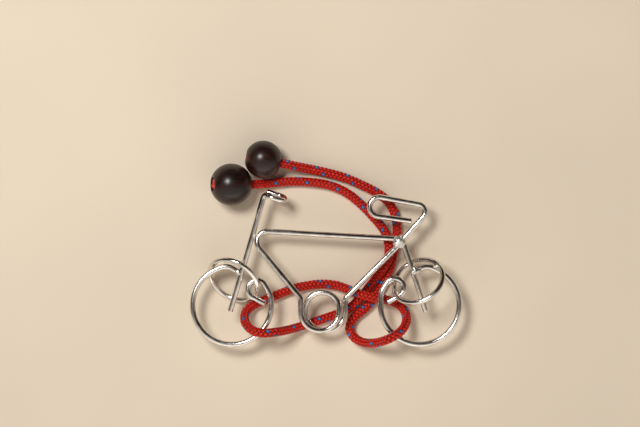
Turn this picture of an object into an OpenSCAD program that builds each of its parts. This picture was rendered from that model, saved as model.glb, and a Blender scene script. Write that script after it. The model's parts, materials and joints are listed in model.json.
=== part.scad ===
// A bicycle bent from plated steel wire, with two loose rings and a beaded cord to take off it.
// It lies on its side on a table: X runs from the rear wheel to the front wheel, Y up the bicycle,
// and Z up from the table. The origin is on the table, under the middle of the puzzle.

/* [Wire] */
// Diameter of the wire that the bicycle is bent from
wire_d = 2.4; // [1.9:0.1:2.5]
// Diameter of the wire of the two loose rings
ring_wire_d = 2.2; // [1.6:0.1:2.4]
// Gap that a weld fills between two wires
weld_gap = 0.1; // [0.05:0.05:0.3]

/* [Wheels] */
// Distance between the centres of the wheels
wheelbase = 79; // [66:0.5:96]
// Height of the wheel centres above the middle of the bicycle
wheel_y = -25.7; // [-27:0.1:-24]
// Radius of a wheel at the middle of its wire
wheel_r = 16.5; // [15:0.1:17.5]
// Radius of the eye that ends the rear wheel
rear_eye_r = 3.8; // [3.6:0.1:4.2]
// Radius of the eye that ends the front wheel
front_eye_r = 3.9; // [3.6:0.1:4.2]

/* [Frame] */
// Lean of the seat post from upright, in degrees
seat_lean = 16.3; // [14:0.1:18]
// Lean of the fork from upright, in degrees
fork_lean = 18.1; // [16:0.1:20]
// Radius of the crank loop at the middle of its wire
crank_r = 7.1; // [6.6:0.1:8]
// Rise of one turn of the crank loop
crank_pitch = 2.3; // [2.2:0.1:2.8]
// Length of the saddle along the bicycle
saddle_l = 9; // [7.6:0.1:11]
// Width of the saddle at the middle of its wire
saddle_w = 7; // [6.6:0.1:8.5]
// Radius of the turn at the grips of the handlebar
grip_r = 4.05; // [3.6:0.05:5]

/* [Rings] */
// Radius of a loose ring at the middle of its wire
ring_r = 10.9; // [10.6:0.1:11.2]
// Roll of the rear ring about the line from its eye to its middle, in degrees
rear_ring_roll = 45; // [44:0.5:46]
// Roll of the front ring about the line from its eye to its middle, in degrees
front_ring_roll = 42.5; // [42:0.5:43]

/* [Cord and beads] */
// Diameter of the braided cord
cord_d = 4.1; // [3.6:0.1:4.1]
// Diameter of the front bead
front_bead_d = 17.8; // [16:0.1:18]
// Diameter of the rear bead
rear_bead_d = 15.9; // [14:0.1:16]
// Share of a bead's diameter that is left between its two flat ends
bead_flat = 0.91; // [0.85:0.01:0.95]
// Diameter of the bore through a bead
bead_bore_d = 4.6; // [4.4:0.1:5]
// Diameter of the pocket for the knot
knot_pocket_d = 6; // [5.6:0.1:6.4]
// Depth of the pocket for the knot
knot_pocket_depth = 4.5; // [3:0.1:5]
// Gap between a knot and its pocket
knot_gap = 0.25; // [0.15:0.05:0.4]

/* [Hidden] */

$fn = 48;
wire_sides = 16;
weld_sides = 24;
bend_step = 10; // degrees of a bend from one ring of its wire to the next
wire_r = wire_d / 2;
rear_ring_rise = 10.4; // slope of the rear ring, up from its middle to its eye
table_gap = 0.15; // between the lowest part of the rear ring and the table
// Height of the bicycle's wires: the rear ring hangs under them and reaches down to the table
rear_ring_depth = ring_r * (sin(rear_ring_rise) + sqrt(1 - (cos(rear_ring_rise) * cos(rear_ring_roll)) ^ 2));
plane_z = table_gap + ring_wire_d / 2 + rear_ring_depth;

// Directions and lines in the plane of the bicycle
function along(angle) = [cos(angle), sin(angle)];
function unit(v) = v / norm(v);
// The point where the line through p at angle a meets the line through q at angle b
function meeting(p, a, q, b) =
    let (turn = sin(b - a), gap = q - p)
    p + along(a) * (gap[0] * sin(b) - gap[1] * cos(b)) / turn;
// The point of a circle where a wire that goes round it has this heading; side is 1 anticlockwise
function tangent(centre, radius, heading, side = 1) = centre + radius * along(heading - side * 90);
// A wire's corners round a circle, from one heading to another
function round_corners(centre, radius, from, to, corners = 3) =
    let (step = (to - from) / corners, side = sign(step), reach = radius / cos(step / 2))
    [for (i = [0:corners - 1]) [centre + reach * along(from + (i + 0.5) * step - side * 90), radius]];
// Corners in the plane of the bicycle, laid at its height
function at_plane(corners, z = plane_z) = [for (c = corners) [[c[0][0], c[0][1], z], c[1]]];
// The same corners with front and rear changed over
function other_way(corners) = [for (c = corners) [[-c[0][0], c[0][1]], c[1]]];

// A wire is a list of corners, each a point and the radius of the bend there. Its middle line runs
// straight between bends, and a point stands at every few degrees of each bend.
function heading(w, i) = unit(w[i + 1][0] - w[i][0]);
function bend_points(w, i) =
    let (
        before = heading(w, i - 1),
        after = heading(w, i),
        angle = acos(before * after),
        inward = unit(after - before),
        centre = w[i][0] + w[i][1] / cos(angle / 2) * inward,
        middle = unit(before + after),
        steps = ceil(angle / bend_step)
    )
    [
        for (k = [0:steps])
            let (a = angle * (k / steps - 0.5))
            centre + w[i][1] * (sin(a) * middle - cos(a) * inward)
    ];
function middle_line(w) = [
    w[0][0],
    for (i = [1:len(w) - 2]) each bend_points(w, i),
    w[len(w) - 1][0],
];

// Sweeps a round section along a line of points, without twisting it
function square_to(v, dir) = unit(v - (v * dir) * dir);
function tube_headings(line) =
    let (last = len(line) - 1)
    [for (i = [0:last]) unit(line[min(i + 1, last)] - line[max(i - 1, 0)])];
function tube_points(line, d, sides) =
    let (
        dirs = tube_headings(line),
        ups = [
            for (i = 0, up = square_to([0, 0, 1], dirs[0]); i < len(line);
                i = i + 1, up = i < len(line) ? square_to(up, dirs[i]) : up) up
        ]
    )
    [
        for (i = [0:len(line) - 1], k = [0:sides - 1])
            let (a = 360 * (k + 0.5) / sides, side = cross(ups[i], dirs[i]))
            line[i] + d / 2 * (cos(a) * side + sin(a) * ups[i])
    ];
module tube(line, d, sides) {
    rings = len(line);
    polyhedron(tube_points(line, d, sides), [
        [for (k = [0:sides - 1]) k],
        for (i = [0:rings - 2], k = [0:sides - 1])
            let (a = i * sides + k, b = i * sides + (k + 1) % sides)
            [b, a, a + sides, b + sides],
        [for (k = [sides - 1:-1:0]) (rings - 1) * sides + k],
    ]);
}

module bent_wire(w) {
    tube(middle_line(w), wire_d, wire_sides);
}

// Seat post: a straight rod through the middle of the rear wheel, up to the saddle
rear_hub = [-wheelbase / 2, wheel_y];
front_hub = [wheelbase / 2, wheel_y];
post_foot = 2.8; // length of the post past the middle of the wheel
post_angle = 90 - seat_lean;
post_l = 49; // from the middle of the wheel to the saddle's neck
post_top = rear_hub + post_l * along(post_angle);
saddle_slope = -17;
saddle_back = 2.6; // from the post to where the near side of the saddle runs straight
saddle_end = 0.8; // from the post to the cut end of the far side
saddle_side_tilt = 15; // how far the saddle rolls over
function on_saddle(forward, across) =
    [post_top[0], post_top[1], plane_z]
    + forward * [cos(saddle_slope), sin(saddle_slope), 0]
    + across * [0, -sin(saddle_side_tilt), cos(saddle_side_tilt)];
post_corners = [
    [[each (rear_hub - post_foot * along(post_angle)), plane_z], 0],
    [on_saddle(0, 0), 2],
    [on_saddle(saddle_back, saddle_w / 2), 2.4],
    [on_saddle(saddle_l, saddle_w / 2), saddle_w / 2 - 0.1],
    [on_saddle(saddle_l, -saddle_w / 2), saddle_w / 2 - 0.1],
    [on_saddle(saddle_end, -saddle_w / 2), 0],
];

// Handlebar and fork: one wire, from the free end of the bar round the grip to the foot of the fork
head = front_hub + [-7.3, 27.3];
fork_angle = fork_lean - 90;
fork_l = 31.6;
stem_angle = 48.7;
bar_slope = -10.4;
lower_bar_slope = -8;
grip_centre = head + [-9.75, 14];
bar_reach = 14.2; // length of the lower bar
upper_bar_start = tangent(grip_centre, grip_r, bar_slope, -1);
lower_bar_end = tangent(grip_centre, grip_r, lower_bar_slope + 180, -1);
stem_top = meeting(upper_bar_start, bar_slope, head, stem_angle);
handlebar_corners = at_plane([
    [lower_bar_end + bar_reach * along(lower_bar_slope), 0],
    each round_corners(grip_centre, grip_r, lower_bar_slope + 180, bar_slope),
    [stem_top, 3.2],
    [head, 3],
    [head + fork_l * along(fork_angle), 0],
]);
head_corner = len(handlebar_corners) - 2; // the corner of the handlebar's wire that is welded

// Frame: one wire, from the head along the top tube, down to the crank loop and back up to the head
top_tube_end = head + [-1.2, 0.5];
down_tube_end = head + [-2.1, -2.4];
top_tube_start = [top_tube_end[0], top_tube_end[1], plane_z];
top_tube_heading = 176.7; // from the head towards the seat
crank = [-1.6, wheel_y - 1.7]; // centre of the top of the crank loop
crank_left = crank[0] - crank_r - 1.9;
crank_right = crank[0] + crank_r + 2.5;
crank_shoulder = 4.8; // from the middle of the loop up to where the tubes turn off
crank_foot = 0.9; // from the middle of the loop down to where the tubes turn under it
left_turn_r = (crank[0] + crank_r - crank_left) / 2;
right_turn_r = (crank_right - crank[0] + crank_r) / 2;
turn_slack = 0.05; // the crank loop's turns fall short of half circles by this much, as they climb
// The frame's bend at the seat comes one weld gap short of the seat post
seat_bend_r = 4.4;
seat_bend = meeting(
    top_tube_end + seat_bend_r * along(top_tube_heading + 90), top_tube_heading,
    rear_hub + (seat_bend_r + wire_d + weld_gap) * along(post_angle - 90), post_angle
);
seat_tube_foot = [crank_left, crank[1] + crank_shoulder];
to_seat_bend = seat_bend - seat_tube_foot;
seat_tube_heading = atan2(to_seat_bend[1], to_seat_bend[0]) + asin(seat_bend_r / norm(to_seat_bend));
seat_corner = meeting(top_tube_end, top_tube_heading, seat_tube_foot, seat_tube_heading);
function crank_point(x, y, turns) = [x, y, plane_z + crank_pitch * (0.75 - turns)];
frame_corners = [
    [top_tube_start, 0],
    [[seat_corner[0], seat_corner[1], plane_z], seat_bend_r],
    [crank_point(seat_tube_foot[0], seat_tube_foot[1], 0), 3],
    [crank_point(crank_left, crank[1] - crank_foot - left_turn_r, 0.1), left_turn_r - turn_slack],
    [crank_point(crank[0] + crank_r, crank[1] - crank_foot - left_turn_r, 0.4), left_turn_r - turn_slack],
    [crank_point(crank[0] + crank_r, crank[1] + crank_r, 0.6), crank_r - turn_slack],
    [crank_point(crank[0] - crank_r, crank[1] + crank_r, 0.9), crank_r - turn_slack],
    [crank_point(crank[0] - crank_r, crank[1] - crank_foot - right_turn_r, 1.3), right_turn_r - turn_slack],
    [crank_point(crank_right, crank[1] - crank_foot - right_turn_r, 1.5), right_turn_r - turn_slack],
    [crank_point(crank_right, crank[1] + crank_shoulder - 0.5, 1.5), 3],
    [[down_tube_end[0], down_tube_end[1], plane_z], 0],
];
frame_end = len(frame_corners) - 1; // the corner that ends the frame's wire

// A wheel: welded to its post, three quarters of a circle, then an eye that leaves a hooked tail.
// Worked out for the rear wheel, with the middle of the bicycle to the right.
weld_reach = wire_d * 0.67 + weld_gap; // from the middle of a post to the end of the wheel's wire
approach = 148; // heading of the wheel's wire as it leaves the weld
joins_at = 200; // heading at which it reaches the circle
eye_in = 122;
eye_out = 332;
function wheel_corners(hub, weld, eye, eye_r, tail) =
    let (
        start = weld + weld_reach * along(approach),
        inner_side = hub[0] + wheel_r,
        eye_start = tangent(eye, eye_r, eye_in),
        eye_end = tangent(eye, eye_r, eye_out)
    )
    [
        [start, 0],
        [meeting(start, approach, tangent(hub, wheel_r, joins_at), joins_at), 6],
        each round_corners(hub, wheel_r, joins_at, 450),
        [meeting([inner_side, hub[1]], 90, eye_start, eye_in), 8],
        each round_corners(eye, eye_r, eye_in, eye_out),
        [eye_end + tail * along(eye_out), 0],
    ];
rear_eye = rear_hub + [wheel_r - 6, 6.7];
rear_weld = meeting(rear_hub, post_angle, rear_hub + [0, 0.8 * wheel_r], 0);
rear_wheel_corners = at_plane(wheel_corners(rear_hub, rear_weld, rear_eye, rear_eye_r, 5.9));
front_eye = front_hub + [5.9 - wheel_r, 7.3];
front_weld = meeting(head, fork_angle, front_hub + [0, 0.82 * wheel_r], 0);
front_wheel_corners = at_plane(other_way(wheel_corners(
    [-front_hub[0], front_hub[1]], [-front_weld[0], front_weld[1]],
    [-front_eye[0], front_eye[1]], front_eye_r, 5.6)));

// The loose rings: where each one's wire passes through the eye of its wheel, which way the eye is
// from the middle of the ring, and the slope up to it
rear_ring_at = [rear_eye[0] + 0.05, rear_eye[1] - 0.1, plane_z];
rear_ring_turn = -21.3;
front_ring_at = [front_eye[0] - 0.2, front_eye[1] - 0.1, plane_z - 0.2];
front_ring_turn = 196.7;
front_ring_rise = -16;

// Cord: lies on the table, and climbs over the wires at the crank loop and at both wheels
cord_sides = 8;
cord_rings = 80;
cord_route = [
    [-47, 25, 11.1], [-40, 25, 8.9], [-34, 25, 7.1], [-28, 25.2, 4.6], [-22, 25.8, 2.7],
    [-14, 26.4, 2.2], [-6, 26, 2.2], [2, 24.6, 2.2], [9, 21.4, 2.2], [15, 16.6, 2.2],
    [20, 11.4, 2.3], [24, 6.6, 3.4], [26, 2.2, 5.2], [26.6, -2, 6.2], [26.2, -6, 6.3],
    [24.4, -10, 5.6], [21.4, -14.2, 3.8], [18.3, -18.2, 2.5], [15.2, -22.2, 2.2],
    [11.6, -26, 2.2], [7.4, -28.8, 2.2], [2.6, -30.6, 2.2], [-2.6, -32.4, 2.2],
    [-8, -34.2, 2.7], [-13, -35.6, 5.4], [-17.6, -36.5, 10], [-22, -37, 13.8],
    [-26.5, -37.2, 15.1], [-31, -36, 13.6], [-34, -32.8, 9.9], [-33.9, -29, 6],
    [-31, -26.1, 3.3], [-26, -24, 2.3], [-19.4, -21.2, 2.2], [-12, -18.6, 2.2],
    [-3, -17.2, 2.2], [4, -17.6, 2.3], [9, -19.2, 3.8], [13, -20.8, 6], [17, -22, 6.8],
    [21.5, -22.9, 6.6], [25.3, -23.6, 5.2], [29, -24.8, 3.8], [32.1, -26.8, 3.6],
    [33.8, -29.8, 5.4], [33.7, -33.2, 8.9], [32, -36, 12.6], [29, -38.2, 15],
    [25.6, -39.9, 15.2], [22, -41.2, 12.6], [18.2, -41.8, 8.8], [14.4, -41.2, 5.2],
    [11.4, -39.1, 3], [10.1, -35.9, 2.3], [11, -32.7, 2.2], [13.2, -30.2, 2.2],
    [15.9, -28.1, 2.2], [18.7, -25.3, 2.2], [21.3, -21.8, 2.2],
    [23.6, -18.2, 2.2], [25.8, -14.2, 2.2], [27.4, -9.6, 2.2], [28.6, -4.6, 2.2],
    [29.6, 0.4, 2.2], [30.2, 5.4, 2.2], [29.8, 10.4, 2.2], [28.2, 15, 2.2], [25.4, 18.8, 2.2],
    [21, 22, 2.2], [15, 25, 2.2], [8, 28, 2.2], [0.5, 30.1, 2.2],
    [-5.5, 31.4, 2.6], [-10, 32.3, 4], [-14.6, 33.2, 5.9], [-19.4, 34.2, 7.1], [-26.4, 35.6, 8],
    [-33, 36.9, 8.7],
];
// A smooth curve through the cord's points: where it is, t points along
function cord_at(t) =
    let (
        n = len(cord_route) - 1,
        i = min(n - 1, floor(t)),
        u = t - i,
        p1 = cord_route[i],
        p2 = cord_route[i + 1],
        p0 = i > 0 ? cord_route[i - 1] : 2 * p1 - p2,
        p3 = i + 2 <= n ? cord_route[i + 2] : 2 * p2 - p1
    )
    0.5 * (2 * p1 + (p2 - p0) * u + (2 * p0 - 5 * p1 + 4 * p2 - p3) * u ^ 2
        + (3 * p1 - p0 - 3 * p2 + p3) * u ^ 3);
cord_line = [
    for (i = [0:cord_rings - 1]) cord_at(i * (len(cord_route) - 1) / (cord_rings - 1))
];

// Beads: where each one's middle is, and which way the knotted end of its bore points
front_bead_at = [-39.9, 25, front_bead_d / 2];
front_bead_turn = 180;
front_bead_rise = 17;
rear_bead_at = [-26.4, 35.6, rear_bead_d / 2];
rear_bead_turn = 169;
rear_bead_rise = 6;

module frame_wire() {
    color("silver") bent_wire(frame_corners);
}

module seat_post() {
    color("silver") bent_wire(post_corners);
}

module handlebar_and_fork() {
    color("silver") bent_wire(handlebar_corners);
}

module rear_wheel() {
    color("silver") bent_wire(rear_wheel_corners);
}

module front_wheel() {
    color("silver") bent_wire(front_wheel_corners);
}

// The room that a wire takes up, whichever way its flat sides face
module wire_room(line) {
    tube(line, wire_d / cos(180 / wire_sides), wire_sides);
}

// The room of a straight wire between two points in the plane of the bicycle
module straight_room(from, to) {
    wire_room([[from[0], from[1], plane_z], [to[0], to[1], plane_z]]);
}

// The room that the bend at one corner of a wire takes up, with a straight length on each side
module bend_room(w, i) {
    straight = 2 * wire_d;
    bend = bend_points(w, i);
    wire_room([
        bend[0] - straight * heading(w, i - 1),
        each bend,
        bend[len(bend) - 1] + straight * heading(w, i),
    ]);
}

// A drop of weld metal round the wires whose room is given as children
module weld_drop(at, radius) {
    difference() {
        translate([at[0], at[1], plane_z]) hull() sphere(r = radius, $fn = weld_sides);
        children();
    }
}

module head_weld() {
    color("lightgray") weld_drop(head + [-1, -0.7], 3.2) {
        wire_room([frame_corners[0][0], frame_corners[1][0]]);
        wire_room([frame_corners[frame_end][0], frame_corners[frame_end - 1][0]]);
        bend_room(handlebar_corners, head_corner);
    }
}

module seat_weld() {
    color("lightgray") weld_drop(seat_bend + (seat_bend_r + wire_d / 2) * along(post_angle + 90), 1.7) {
        bend_room(frame_corners, 1);
        straight_room(rear_hub, post_top);
    }
}

module rear_wheel_weld() {
    color("lightgray") weld_drop(rear_weld + 1.3 * along(approach), 1.8) {
        straight_room(rear_hub, post_top);
        straight_room(rear_weld + weld_reach * along(approach), rear_weld + 5 * along(approach));
    }
}

module front_wheel_weld() {
    color("lightgray") weld_drop(front_weld + 1.3 * along(180 - approach), 1.8) {
        straight_room(head, head + fork_l * along(fork_angle));
        straight_room(front_weld + weld_reach * along(180 - approach), front_weld + 5 * along(180 - approach));
    }
}

module loose_ring(at, roll, rise, turn) {
    translate(at)
        rotate([roll, -rise, turn])
            translate([-ring_r, 0, 0])
                rotate_extrude()
                    translate([ring_r, 0])
                        circle(d = ring_wire_d);
}

module rear_ring() {
    color("silver") loose_ring(rear_ring_at, rear_ring_roll, rear_ring_rise, rear_ring_turn);
}

module front_ring() {
    color("silver") loose_ring(front_ring_at, front_ring_roll, front_ring_rise, front_ring_turn);
}

module cord() {
    color("red") tube(cord_line, cord_d, cord_sides);
}

// Lays its children's Z axis along a bead's bore, with the knotted end at the top
module on_bore(at, turn, rise) {
    translate(at) rotate([0, 90 - rise, turn]) children();
}

module bead(d) {
    l = d * bead_flat;
    difference() {
        intersection() {
            sphere(d = d);
            cylinder(d = d + 1, h = l, center = true);
        }
        cylinder(d = bead_bore_d, h = l + 1, center = true);
        translate([0, 0, l / 2 - knot_pocket_depth]) cylinder(d = knot_pocket_d, h = l);
    }
}

module knot(d) {
    l = d * bead_flat;
    translate([0, 0, l / 2 - knot_pocket_depth + knot_gap])
        cylinder(d = knot_pocket_d - 2 * knot_gap, h = knot_pocket_depth - knot_gap);
}

module front_bead() {
    color("#2b1712") on_bore(front_bead_at, front_bead_turn, front_bead_rise) bead(front_bead_d);
}

module rear_bead() {
    color("#2b1712") on_bore(rear_bead_at, rear_bead_turn, rear_bead_rise) bead(rear_bead_d);
}

module front_bead_knot() {
    color("red") on_bore(front_bead_at, front_bead_turn, front_bead_rise) knot(front_bead_d);
}

module rear_bead_knot() {
    color("red") on_bore(rear_bead_at, rear_bead_turn, rear_bead_rise) knot(rear_bead_d);
}

frame_wire();
seat_post();
handlebar_and_fork();
rear_wheel();
front_wheel();
head_weld();
seat_weld();
rear_wheel_weld();
front_wheel_weld();
rear_ring();
front_ring();
cord();
front_bead();
rear_bead();
front_bead_knot();
rear_bead_knot();
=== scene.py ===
import json
import math

import bmesh
import bpy
import numpy as np
from bpy.props import FloatProperty, FloatVectorProperty, IntProperty, PointerProperty
from bpy.types import Operator, Panel, PropertyGroup
from mathutils import Matrix, Vector


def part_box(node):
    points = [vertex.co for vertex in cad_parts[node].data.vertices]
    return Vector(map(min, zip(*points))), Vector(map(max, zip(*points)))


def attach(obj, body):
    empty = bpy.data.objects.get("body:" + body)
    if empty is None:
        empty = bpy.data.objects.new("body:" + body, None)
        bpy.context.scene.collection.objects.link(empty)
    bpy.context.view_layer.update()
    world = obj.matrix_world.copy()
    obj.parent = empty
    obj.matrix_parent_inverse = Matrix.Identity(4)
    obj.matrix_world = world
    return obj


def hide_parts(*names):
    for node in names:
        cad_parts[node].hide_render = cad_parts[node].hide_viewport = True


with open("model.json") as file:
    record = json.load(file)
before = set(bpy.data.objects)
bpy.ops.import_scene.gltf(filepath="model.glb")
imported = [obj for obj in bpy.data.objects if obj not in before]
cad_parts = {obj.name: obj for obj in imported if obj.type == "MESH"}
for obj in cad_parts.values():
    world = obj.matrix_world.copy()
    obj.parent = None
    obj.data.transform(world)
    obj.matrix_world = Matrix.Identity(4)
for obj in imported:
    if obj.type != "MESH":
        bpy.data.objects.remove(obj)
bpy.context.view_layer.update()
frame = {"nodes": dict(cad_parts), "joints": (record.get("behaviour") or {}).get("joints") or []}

bl_info = {
    "name": "Bicycle Wire Puzzle",
    "version": (1, 0, 0),
    "blender": (4, 5, 0),
    "location": "3D View > Sidebar > Wire Puzzle",
    "description": "Builds the finished surfaces of a bicycle wire puzzle round its packed frame",
    "category": "Object",
}

MM = 0.001
ROOT = "bicycle_and_cord"
JOINTS = {joint["name"]: joint for joint in frame["joints"]}

# The middle line of the cord, in millimetres, from the front bead's knot to the rear bead's
CORD_ROUTE = [
    (-47, 25, 11.1), (-40, 25, 8.9), (-34, 25, 7.1), (-28, 25.2, 4.6), (-22, 25.8, 2.7),
    (-14, 26.4, 2.2), (-6, 26, 2.2), (2, 24.6, 2.2), (9, 21.4, 2.2), (15, 16.6, 2.2),
    (20, 11.4, 2.3), (24, 6.6, 3.4), (26, 2.2, 5.2), (26.6, -2, 6.2), (26.2, -6, 6.3),
    (24.4, -10, 5.6), (21.4, -14.2, 3.8), (18.3, -18.2, 2.5), (15.2, -22.2, 2.2),
    (11.6, -26, 2.2), (7.4, -28.8, 2.2), (2.6, -30.6, 2.2), (-2.6, -32.4, 2.2),
    (-8, -34.2, 2.7), (-13, -35.6, 5.4), (-17.6, -36.5, 10), (-22, -37, 13.8),
    (-26.5, -37.2, 15.1), (-31, -36, 13.6), (-34, -32.8, 9.9), (-33.9, -29, 6),
    (-31, -26.1, 3.3), (-26, -24, 2.3), (-19.4, -21.2, 2.2), (-12, -18.6, 2.2),
    (-3, -17.2, 2.2), (4, -17.6, 2.3), (9, -19.2, 3.8), (13, -20.8, 6), (17, -22, 6.8),
    (21.5, -22.9, 6.6), (25.3, -23.6, 5.2), (29, -24.8, 3.8), (32.1, -26.8, 3.6),
    (33.8, -29.8, 5.4), (33.7, -33.2, 8.9), (32, -36, 12.6), (29, -38.2, 15),
    (25.6, -39.9, 15.2), (22, -41.2, 12.6), (18.2, -41.8, 8.8), (14.4, -41.2, 5.2),
    (11.4, -39.1, 3), (10.1, -35.9, 2.3), (11, -32.7, 2.2), (13.2, -30.2, 2.2),
    (15.9, -28.1, 2.2), (18.7, -25.3, 2.2), (21.3, -21.8, 2.2),
    (23.6, -18.2, 2.2), (25.8, -14.2, 2.2), (27.4, -9.6, 2.2), (28.6, -4.6, 2.2),
    (29.6, 0.4, 2.2), (30.2, 5.4, 2.2), (29.8, 10.4, 2.2), (28.2, 15, 2.2), (25.4, 18.8, 2.2),
    (21, 22, 2.2), (15, 25, 2.2), (8, 28, 2.2), (0.5, 30.1, 2.2),
    (-5.5, 31.4, 2.6), (-10, 32.3, 4), (-14.6, 33.2, 5.9), (-19.4, 34.2, 7.1), (-26.4, 35.6, 8),
    (-33, 36.9, 8.7),
]


# ---------------------------------------------------------------- settings


def length(name, description, millimetres):
    """A length setting, kept in metres."""
    return FloatProperty(
        name=name, description=description, default=millimetres * MM, subtype="DISTANCE", precision=4)


class WireSettings(PropertyGroup):
    wire_d: length("Wire", "Diameter of the wire that the bicycle is bent from", 2.4)
    wheelbase: length("Wheelbase", "Distance between the centres of the wheels", 79)
    wheel_y: length("Wheel height", "Height of the wheel centres above the middle", -25.7)
    wheel_r: length("Wheel radius", "Radius of a wheel at the middle of its wire", 16.5)
    rear_eye_r: length("Rear eye", "Radius of the eye that ends the rear wheel", 3.8)
    front_eye_r: length("Front eye", "Radius of the eye that ends the front wheel", 3.9)
    crank_r: length("Crank loop", "Radius of the crank loop", 7.1)
    crank_pitch: length("Crank pitch", "Rise of one turn of the crank loop", 2.3)
    saddle_l: length("Saddle length", "Length of the saddle along the bicycle", 9)
    saddle_w: length("Saddle width", "Width of the saddle at the middle of its wire", 7)
    grip_r: length("Grip", "Radius of the turn at the grips of the handlebar", 4.05)
    end_rounding: length("End rounding", "Radius of the tumbled edge at each cut end", 0.4)
    seat_lean: FloatProperty(
        name="Seat lean", description="Lean of the seat post from upright",
        default=math.radians(16.3), subtype="ANGLE")
    fork_lean: FloatProperty(
        name="Fork lean", description="Lean of the fork from upright",
        default=math.radians(18.1), subtype="ANGLE")
    tint: FloatVectorProperty(
        name="Plating", description="Colour of the nickel plating",
        default=(0.84, 0.80, 0.745), subtype="COLOR", min=0, max=1)
    tarnish: FloatVectorProperty(
        name="Tarnish", description="Colour of the plating where it is dull",
        default=(0.60, 0.555, 0.50), subtype="COLOR", min=0, max=1)


class RingSettings(PropertyGroup):
    wire_d: FloatProperty(
        name="Wire", description="Diameter of the wire of the loose rings",
        default=2.2 * MM, subtype="DISTANCE")
    seam_swell: FloatProperty(
        name="Seam swell", description="How far the welded seam of a ring stands proud",
        default=0.06 * MM, subtype="DISTANCE")


class WeldSettings(PropertyGroup):
    grain: FloatProperty(
        name="Grain", description="Size of the voxels that melt the drops into one lump",
        default=0.2 * MM, subtype="DISTANCE")
    roughness: FloatProperty(
        name="Lumpiness", description="Height of the ripples on a weld",
        default=0.34 * MM, subtype="DISTANCE")


class CordSettings(PropertyGroup):
    diameter: FloatProperty(
        name="Diameter", description="Diameter of the braided cord",
        default=4.1 * MM, subtype="DISTANCE")
    lay: FloatProperty(
        name="Lay", description="Length of cord in which a yarn goes once round it",
        default=13.4 * MM, subtype="DISTANCE")
    pairs: IntProperty(
        name="Yarns each way", description="Number of yarns that wind each way round the cord",
        default=8, min=4, max=12)
    steps: IntProperty(
        name="Steps", description="Number of steps along each yarn",
        default=720, min=200, max=780)
    red: FloatVectorProperty(
        name="Red yarn", description="Colour of the cord",
        default=(1.0, 0.022, 0.010), subtype="COLOR", min=0, max=1)
    blue: FloatVectorProperty(
        name="Blue yarn", description="Colour of the one yarn that makes the flecks",
        default=(0.012, 0.34, 0.85), subtype="COLOR", min=0, max=1)


class BeadSettings(PropertyGroup):
    front_d: FloatProperty(
        name="Front bead", description="Diameter of the front bead",
        default=17.8 * MM, subtype="DISTANCE")
    rear_d: FloatProperty(
        name="Rear bead", description="Diameter of the rear bead",
        default=15.9 * MM, subtype="DISTANCE")
    flat: FloatProperty(
        name="Flat", description="Share of the diameter between the flat ends",
        default=0.91, subtype="FACTOR", min=0.8, max=1)
    bore_d: FloatProperty(
        name="Bore", description="Diameter of the bore", default=4.6 * MM, subtype="DISTANCE")
    pocket_d: FloatProperty(
        name="Pocket", description="Diameter of the pocket for the knot",
        default=6 * MM, subtype="DISTANCE")
    pocket_depth: FloatProperty(
        name="Pocket depth", description="Depth of the pocket for the knot",
        default=4.5 * MM, subtype="DISTANCE")
    lip: FloatProperty(
        name="Lip", description="Rounding of the edges of a bead",
        default=0.35 * MM, subtype="DISTANCE")
    dark: FloatVectorProperty(
        name="Dark grain", description="Darker colour of the stained wood",
        default=(0.006, 0.0025, 0.002), subtype="COLOR", min=0, max=1)
    light: FloatVectorProperty(
        name="Light grain", description="Lighter colour of the stained wood",
        default=(0.036, 0.010, 0.007), subtype="COLOR", min=0, max=1)


class StageSettings(PropertyGroup):
    camera_height: FloatProperty(
        name="Camera height", description="Height of the camera over the table",
        default=0.911, subtype="DISTANCE")
    lens: FloatProperty(
        name="Lens", description="Focal length on a 36 mm wide sensor",
        default=120.5, unit="CAMERA")
    floor: FloatVectorProperty(
        name="Floor", description="Colour of the floor",
        default=(0.80, 0.675, 0.52), subtype="COLOR", min=0, max=1)


# ---------------------------------------------------------------- materials


def new_material(name):
    """An empty node material and its shader."""
    material = bpy.data.materials.new(name)
    material.use_nodes = True
    tree = material.node_tree
    tree.nodes.clear()
    shader = tree.nodes.new("ShaderNodeBsdfPrincipled")
    output = tree.nodes.new("ShaderNodeOutputMaterial")
    tree.links.new(shader.outputs["BSDF"], output.inputs["Surface"])
    return material, tree, shader


def add_node(tree, kind, outlet=0, settings=None, **inputs):
    """Adds a node, gives each named input a value or a link, and returns one of its outlets."""
    node = tree.nodes.new("ShaderNode" + kind)
    for name, value in (settings or {}).items():
        setattr(node, name, value)
    for name, value in inputs.items():
        socket = node.inputs[int(name[1:])] if name[0] == "_" else node.inputs[name.replace("_", " ")]
        if isinstance(value, bpy.types.NodeSocket):
            tree.links.new(value, socket)
        else:
            socket.default_value = value
    return node.outputs[outlet]


def ramp(tree, factor, *stops):
    """A colour ramp over a factor; each stop is a place and a colour."""
    node = tree.nodes.new("ShaderNodeValToRGB")
    tree.links.new(factor, node.inputs["Fac"])
    elements = node.color_ramp.elements
    while len(elements) < len(stops):
        elements.new(0.5)
    for element, (place, colour) in zip(elements, stops):
        element.position = place
        element.color = (*colour, 1) if len(colour) == 3 else colour
    return node.outputs["Color"]


def object_space(tree, rotation=(0, 0, 0)):
    """The place on a piece, in metres, turned if a pattern needs it."""
    place = add_node(tree, "TexCoord", outlet=3)
    return add_node(tree, "Mapping", Vector=place, Rotation=rotation)


def multiply_colours(tree, first, second):
    """The product of two colours."""
    blend = {"data_type": "RGBA", "blend_type": "MULTIPLY"}
    return add_node(tree, "Mix", outlet=2, settings=blend, _0=1.0, _6=first, _7=second)


def even_mix(first, second):
    """The colour half way between two colours."""
    return tuple(0.5 * (a + b) for a, b in zip(first, second))


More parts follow.
